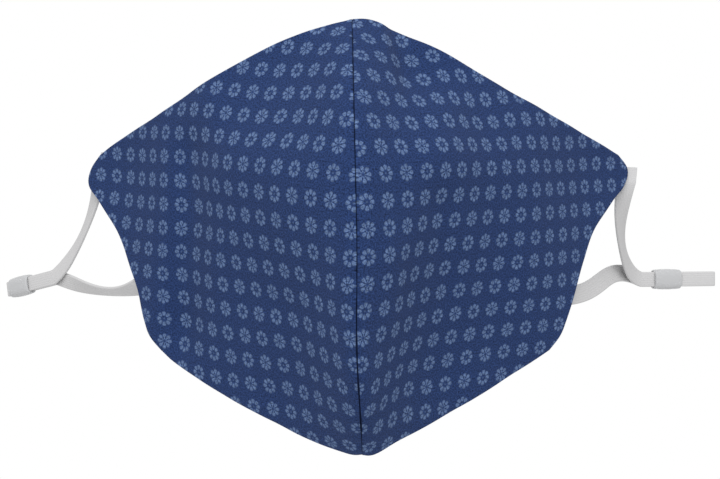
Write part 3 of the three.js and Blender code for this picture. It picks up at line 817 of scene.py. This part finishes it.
def strand_stations(panel, strand, place, layer_side):
    """One strand from its sewn end to the stretch where both strands run together."""
    sign = SIDE_SIGN[panel]
    out, back, rise = strand["set_off"]
    set_off = unit(np.array([sign * out, back, rise]))
    lap = lap_stations(panel, strand, set_off)
    start, first_face, _ = lap[0]
    mouth = (place["mouth"] + place["layers"] * layer_side * (STRAP_THICKNESS + LAYER_GAP) / 2
             - place["along"] * place["row"]["lead"])
    way = np.linalg.norm(mouth - start)
    arrival = unit(-place["along"] + UP * strand["lift"])
    controls = (start, start + set_off * way * strand["pull"],
                mouth + arrival * way * strand["mouth_pull"], mouth)
    fine = np.linspace(0, 1, STRAND_READINGS + 1)
    line, _ = bezier(controls, fine)
    length = np.concatenate([[0], np.cumsum(np.linalg.norm(np.diff(line, axis=0), axis=1))])
    shares = np.arange(1, STRAND_STEPS + 1) / STRAND_STEPS
    centres, slopes = bezier(controls, np.interp(shares * length[-1], length, fine))
    blend = soft_step(shares)[:, None]
    swing = sign * math.radians(strand["roll"]) * np.sin(math.pi * shares ** strand["early"])
    faces = turned(first_face * (1 - blend) + place["layers"] * blend, unit(slopes), swing)
    narrowing = soft_step((shares - NARROWING_START) / (1 - NARROWING_START))
    widths = STRAP_WIDTH + (SQUEEZED_WIDTH - STRAP_WIDTH) * narrowing
    return lap[::-1] + list(zip(centres, faces, widths))


def fold_stations(place):
    """Out through the adjuster, round the fold and back, on both layers."""
    radius = (STRAP_THICKNESS + LAYER_GAP) / 2
    along, layers = place["along"], place["layers"]
    lead = place["row"]["lead"]
    length = ADJUSTER_LENGTH + place["row"]["tail"]
    reaches = np.linspace(-lead, length, DOUBLED_STEPS + 1)[1:]

    def straight(layer):
        return [(place["mouth"] + along * reach + layers * layer * radius, layers * layer,
                 SQUEEZED_WIDTH) for reach in reaches]

    end = place["mouth"] + along * length
    rounds = []
    for step in range(1, FOLD_STEPS):
        angle = math.pi * step / FOLD_STEPS
        outward = layers * math.cos(angle) + along * math.sin(angle)
        rounds.append((end + outward * radius, outward, SQUEEZED_WIDTH))
    return straight(1) + rounds + straight(-1)[::-1]


def strap_profile():
    """A flat band's section with round edges: for each point the share of the half width
    and half thickness that its corner's middle lies at, and its way from there."""
    corner = STRAP_THICKNESS * STRAP_EDGE_SHARE
    rows = []
    for wide, thick, start in ((1, 1, 0), (-1, 1, 90), (-1, -1, 180), (1, -1, 270)):
        for step in range(STRAP_CORNER_STEPS + 1):
            angle = math.radians(start + 90 * step / STRAP_CORNER_STEPS)
            rows.append((wide, thick, corner * math.cos(angle), corner * math.sin(angle)))
    return np.array(rows), corner


def strap_piece(panel, material):
    """A whole ear loop: the upper strand, the fold through the adjuster, the lower strand."""
    place = adjuster_place(panel)
    upper = strand_stations(panel, STRANDS[panel]["upper"], place, 1)
    lower = strand_stations(panel, STRANDS[panel]["lower"], place, -1)
    back = [(centre, -face, width) for centre, face, width in lower[::-1]]
    stations = upper + fold_stations(place) + back
    centres = np.array([centre for centre, _, _ in stations])
    faces = np.array([face for _, face, _ in stations])
    widths = np.array([width for _, _, width in stations])[:, None, None]
    tangent = np.empty(centres.shape)
    tangent[1:-1] = centres[2:] - centres[:-2]
    tangent[0] = centres[1] - centres[0]
    tangent[-1] = centres[-1] - centres[-2]
    tangent = unit(tangent)
    face = unit(faces - tangent * (faces * tangent).sum(axis=1, keepdims=True))
    across = np.cross(tangent, face)
    profile, corner = strap_profile()
    wide, thick, out, up = (profile[:, k][None, :, None] for k in range(4))
    sideways = wide * (widths / 2 - corner) + out
    upright = thick * (STRAP_THICKNESS / 2 - corner) + up
    rings = centres[:, None] + across[:, None] * sideways + face[:, None] * upright
    sides = len(profile)
    length = np.concatenate([[0], np.cumsum(np.linalg.norm(np.diff(centres, axis=0), axis=1))])
    uvs = np.stack([
        np.repeat(length[:, None], sides, axis=1) / MILLIMETRE,
        np.broadcast_to(sideways[..., 0], rings.shape[:2]) / MILLIMETRE,
    ], axis=-1)
    number = np.arange(len(stations) * sides).reshape(len(stations), sides)
    following = np.roll(number, -1, axis=1)
    quads = np.stack([number[:-1], number[1:], following[1:], following[:-1]], axis=-1)
    polygons = quads.reshape(-1, 4).tolist()
    polygons.append(number[0].tolist())
    polygons.append(number[-1, ::-1].tolist())
    piece = new_object(f"elastic_{panel}", rings.reshape(-1, 3), polygons,
                       uvs.reshape(-1, 2), [material])
    finish_piece(piece, "elastic", f"ear_loop_{panel}")
    return piece


def adjuster_piece(panel, material):
    """A soft barrel with a flat passage through it and rounded lips."""
    place = adjuster_place(panel)
    lip = ADJUSTER_LIP
    passage_height = SQUEEZED_WIDTH + 2 * PASSAGE_CLEARANCE
    passage_depth = 2 * STRAP_THICKNESS + LAYER_GAP + 2 * PASSAGE_CLEARANCE
    angles = 2 * math.pi * (np.arange(BARREL_SIDES) + 0.5) / BARREL_SIDES

    def ring(reach, height, depth, squareness):
        up = np.sign(np.cos(angles)) * np.abs(np.cos(angles)) ** squareness * height / 2
        out = np.sign(np.sin(angles)) * np.abs(np.sin(angles)) ** squareness * depth / 2
        return (place["mouth"] + place["along"] * reach + up[:, None] * place["rise"]
                + out[:, None] * place["layers"])

    def barrel(reach, shrink):
        fat = 1 - ADJUSTER_BULGE * (2 * reach / ADJUSTER_LENGTH - 1) ** 2
        return ring(reach, ADJUSTER_HEIGHT * fat - 2 * shrink,
                    ADJUSTER_DEPTH * fat - 2 * shrink, BARREL_SQUARENESS)

    rings = [barrel(lip * (1 - math.cos(a)), lip * (1 - math.sin(a)))
             for a in np.linspace(0, math.pi / 2, LIP_STEPS + 1)]
    rings += [barrel(reach, 0) for reach in
              np.linspace(lip, ADJUSTER_LENGTH - lip, BARREL_RINGS + 1)[1:-1]]
    rings += [barrel(ADJUSTER_LENGTH - lip * (1 - math.cos(a)), lip * (1 - math.sin(a)))
              for a in np.linspace(math.pi / 2, 0, LIP_STEPS + 1)]
    for reach in np.linspace(ADJUSTER_LENGTH, 0, PASSAGE_RINGS + 1):
        rings.append(ring(reach, passage_height, passage_depth, PASSAGE_SQUARENESS))
    points = np.vstack(rings)
    number = np.arange(len(points)).reshape(len(rings), BARREL_SIDES)
    after = np.roll(number, -1, axis=0)
    quads = np.stack([number, after, np.roll(after, -1, axis=1), np.roll(number, -1, axis=1)],
                     axis=-1)
    piece = new_object(f"bead_{panel}", points, quads.reshape(-1, 4).tolist(),
                       materials=[material], flip=panel == "right")
    finish_piece(piece, "soft_adjuster", f"adjuster_{panel}")
    return piece


class Maths:
    """The math nodes of one material, written as sums."""

    def __init__(self, tree):
        self.tree = tree

    def __call__(self, operation, *values):
        node = self.tree.nodes.new("ShaderNodeMath")
        node.operation = operation
        for socket, value in zip(node.inputs, values):
            if isinstance(value, (int, float)):
                socket.default_value = value
            else:
                self.tree.links.new(value, socket)
        return node.outputs[0]

    def fade(self, value, full, none):
        """1 where value is at full, 0 where it is at none, soft between them."""
        node = self.tree.nodes.new("ShaderNodeMapRange")
        node.interpolation_type = "SMOOTHSTEP"
        self.tree.links.new(value, node.inputs["Value"])
        node.inputs["From Min"].default_value = none
        node.inputs["From Max"].default_value = full
        return node.outputs["Result"]


def new_material(name, colour, finish):
    """A material of one colour and finish, its shader and its math nodes."""
    material = bpy.data.materials.new(name)
    material.use_nodes = True
    shader = material.node_tree.nodes["Principled BSDF"]
    shader.inputs["Base Color"].default_value = (*colour, 1)
    for socket, value in FINISHES[finish].items():
        shader.inputs[socket].default_value = value
    return material, shader, Maths(material.node_tree)


def cloth_place(maths):
    """The two coordinates of a piece's own cloth."""
    node = maths.tree.nodes.new("ShaderNodeUVMap")
    node.uv_map = "cloth"
    apart = maths.tree.nodes.new("ShaderNodeSeparateXYZ")
    maths.tree.links.new(node.outputs["UV"], apart.inputs["Vector"])
    return node.outputs["UV"], apart.outputs["X"], apart.outputs["Y"]


def petal_mask(maths, along, beside, petal, breaks):
    """Where a petal is: a blob between its inner and outer end, narrower at the inner one."""
    middle = (petal["inner"] + petal["outer"]) / 2
    half = (petal["outer"] - petal["inner"]) / 2
    lengthwise = maths("DIVIDE", maths("SUBTRACT", along, middle), half)
    width = maths("MULTIPLY_ADD", lengthwise, petal["width"] * PETAL_WIDENING,
                  petal["width"] * PETAL_MIDDLE)
    sideways = maths("DIVIDE", beside, width)
    round_end = maths("POWER", maths("ABSOLUTE", lengthwise), PETAL_ROUNDNESS)
    round_side = maths("POWER", sideways, PETAL_ROUNDNESS)
    return maths.fade(maths("ADD", maths("ADD", round_end, round_side), breaks), *PETAL_EDGE)


def print_mask(maths, x, y, first, breaks):
    """How much of the lighter blue shows at a place of the print."""
    column = maths("ROUND", x)
    row = maths("ROUND", y)
    dx = maths("DIVIDE", maths("SUBTRACT", x, column), FLOWER_RADIUS)
    dy = maths("DIVIDE", maths("SUBTRACT", y, row), FLOWER_RADIUS)
    radius = maths("SQRT", maths("ADD", maths("MULTIPLY", dx, dx), maths("MULTIPLY", dy, dy)))
    turns = maths("MULTIPLY", maths("ARCTAN2", dx, dy), PETALS / (2 * math.pi))
    petal = maths("ROUND", turns)
    angle = maths("MULTIPLY", maths("SUBTRACT", turns, petal), 2 * math.pi / PETALS)
    along = maths("MULTIPLY", radius, maths("COSINE", angle))
    beside = maths("ABSOLUTE", maths("MULTIPLY", radius, maths("SINE", angle)))
    ring = petal_mask(maths, along, beside, RING_PETAL, breaks)
    dot = maths.fade(radius, RING_CENTRE - EDGE_SOFTNESS, RING_CENTRE + EDGE_SOFTNESS)
    ring = maths("MAXIMUM", ring, maths("MULTIPLY", dot, RING_CENTRE_STRENGTH))
    full = petal_mask(maths, along, beside, FULL_PETAL, breaks)
    # Dark lines between the petals of the filled flower, and a dark spot on each line
    half_turn = math.pi / PETALS
    from_line = maths("MULTIPLY", radius, maths("SINE", maths(
        "SUBTRACT", half_turn, maths("ABSOLUTE", angle))))
    full = maths("MULTIPLY", full, maths.fade(from_line, PETAL_LINE + EDGE_SOFTNESS, 0.0))
    spot = maths("SQRT", maths("ADD", maths("POWER", from_line, 2.0), maths(
        "POWER", maths("SUBTRACT", along, SPOT_PLACE), 2.0)))
    full = maths("MULTIPLY", full, maths.fade(spot, SPOT_RADIUS + EDGE_SOFTNESS, SPOT_RADIUS))
    parity = maths("FLOORED_MODULO", maths("ADD", maths("ADD", column, row), first), 2.0)
    return maths("ADD", maths("MULTIPLY", ring, maths("SUBTRACT", 1.0, parity)),
                 maths("MULTIPLY", full, parity))


def plain_weave(maths, x, y):
    """The height of a plain weave's threads, from -1 to 1, in the cloth's own coordinates."""
    warp = maths("SINE", maths("MULTIPLY", x, 2 * math.pi * THREADS))
    weft = maths("SINE", maths("MULTIPLY", y, 2 * math.pi * THREADS))
    return maths("MULTIPLY", warp, weft)


def add_bump(maths, shader, height, depth):
    """Fine relief of a height from -1 to 1."""
    bump = maths.tree.nodes.new("ShaderNodeBump")
    bump.inputs["Distance"].default_value = depth
    maths.tree.links.new(height, bump.inputs["Height"])
    maths.tree.links.new(bump.outputs["Normal"], shader.inputs["Normal"])


def fine_noise(maths, place, scale, detail):
    """Noise from 0 to 1 in the cloth's own coordinates."""
    node = maths.tree.nodes.new("ShaderNodeTexNoise")
    node.inputs["Scale"].default_value = scale
    node.inputs["Detail"].default_value = detail
    maths.tree.links.new(place, node.inputs["Vector"])
    return node.outputs["Fac"]


def mixed(maths, blend, share, first, second):
    """Two colours blended by a share. Each is a colour or the output of a node."""
    node = maths.tree.nodes.new("ShaderNodeMix")
    node.data_type = "RGBA"
    node.blend_type = blend
    maths.tree.links.new(share, node.inputs["Factor"])
    for name, colour in (("A", first), ("B", second)):
        socket = node.inputs[COLOUR_SOCKETS[name]]
        if isinstance(colour, tuple):
            socket.default_value = (*colour, 1)
        else:
            maths.tree.links.new(colour, socket)
    return node.outputs[MIXED_COLOUR]


def printed_cotton(panel):
    """Navy cotton with two small flowers in turn."""
    name = f"printed_cotton_{panel}"
    material, shader, maths = new_material(name, NAVY, "printed_cotton")
    place, x, y = cloth_place(maths)
    weave = plain_weave(maths, x, y)
    fleck = fine_noise(maths, place, FLECK_SCALE, FLECK_DETAIL)
    breaks = maths("MULTIPLY_ADD", fleck, PETAL_BREAKS * 2, -PETAL_BREAKS)
    petals = print_mask(maths, x, y, PRINT_PLACES[panel]["first"], breaks)
    colour = mixed(maths, "MIX", petals, NAVY, PETAL_BLUE)
    shade = maths("MULTIPLY_ADD", weave, THREAD_SHADE / 2, 1 - THREAD_SHADE / 2)
    shade = maths("ADD", shade, maths("MULTIPLY_ADD", fleck, FLECK_SHADE * 2, -FLECK_SHADE))
    colour = shaded(maths, colour, shade)
    maths.tree.links.new(colour, shader.inputs["Base Color"])
    add_bump(maths, shader, weave, WEAVE_DEPTH)
    return material


def shaded(maths, colour, shade):
    """A colour made lighter or darker by a number from place to place."""
    node = maths.tree.nodes.new("ShaderNodeVectorMath")
    node.operation = "SCALE"
    maths.tree.links.new(colour, node.inputs[0])
    maths.tree.links.new(shade, node.inputs["Scale"])
    return node.outputs["Vector"]


def plain_cotton():
    """The inner face, unprinted."""
    material, shader, maths = new_material("plain_cotton", INSIDE_NAVY, "plain_cotton")
    _, x, y = cloth_place(maths)
    add_bump(maths, shader, plain_weave(maths, x, y), WEAVE_DEPTH)
    return material


def knitted_elastic():
    """Flat white elastic with lengthwise ribs."""
    material, shader, maths = new_material("knitted_elastic", ELASTIC_WHITE, "knitted_elastic")
    _, x, y = cloth_place(maths)
    rib = maths("SINE", maths("MULTIPLY", y, 2 * math.pi / RIB_PITCH))
    loop = maths("SINE", maths("MULTIPLY", x, 2 * math.pi / KNIT_PITCH))
    height = maths("MULTIPLY_ADD", loop, KNIT_SHARE, rib)
    add_bump(maths, shader, height, RIB_DEPTH)
    return material


def soft_translucent():
    """Milky soft plastic."""
    material, _, _ = new_material("soft_translucent", BEAD_WHITE, "soft_translucent")
    return material


def build_key_light():
    """A soft round light that looks at the origin."""
    data = bpy.data.lights.new("key", "AREA")
    data.shape = "DISK"
    data.size = KEY_LIGHT["size"]
    data.energy = KEY_LIGHT["power"]
    light = bpy.data.objects.new("key", data)
    light.location = KEY_LIGHT["place"]
    way = -Vector(KEY_LIGHT["place"])
    light.rotation_euler = way.to_track_quat("-Z", "Y").to_euler()
    bpy.context.scene.collection.objects.link(light)


def build_studio():
    """A pale floor below the mask, white surroundings and a soft light from above."""
    world = bpy.data.worlds.new("white_room")
    world.use_nodes = True
    world.node_tree.nodes["Background"].inputs["Color"].default_value = (1, 1, 1, 1)
    bpy.context.scene.world = world
    half = FLOOR_HALF
    corners = [(-half, -half, FLOOR_HEIGHT), (half, -half, FLOOR_HEIGHT),
               (half, half, FLOOR_HEIGHT), (-half, half, FLOOR_HEIGHT)]
    floor_material, _, _ = new_material("pale_floor", FLOOR_GREY, "pale_floor")
    floor = new_object("floor", corners, [(0, 1, 2, 3)], materials=[floor_material])
    build_key_light()
    bpy.context.scene.view_settings.view_transform = "Standard"


def build_camera():
    """A level camera at the photo's viewing angle."""
    data = bpy.data.cameras.new("camera")
    data.sensor_width = CAMERA_SENSOR
    data.lens = CAMERA_LENS
    camera = bpy.data.objects.new("camera", data)
    camera.location = CAMERA_PLACE
    camera.rotation_euler = (math.radians(90), 0, 0)
    bpy.context.scene.collection.objects.link(camera)
    bpy.context.scene.camera = camera


inside = plain_cotton()
elastic = knitted_elastic()
soft = soft_translucent()
for side in SIDE_SIGN:
    panel_piece(side, [printed_cotton(side), inside])
    strap_piece(side, elastic)
    adjuster_piece(side, soft)
build_studio()
build_camera()
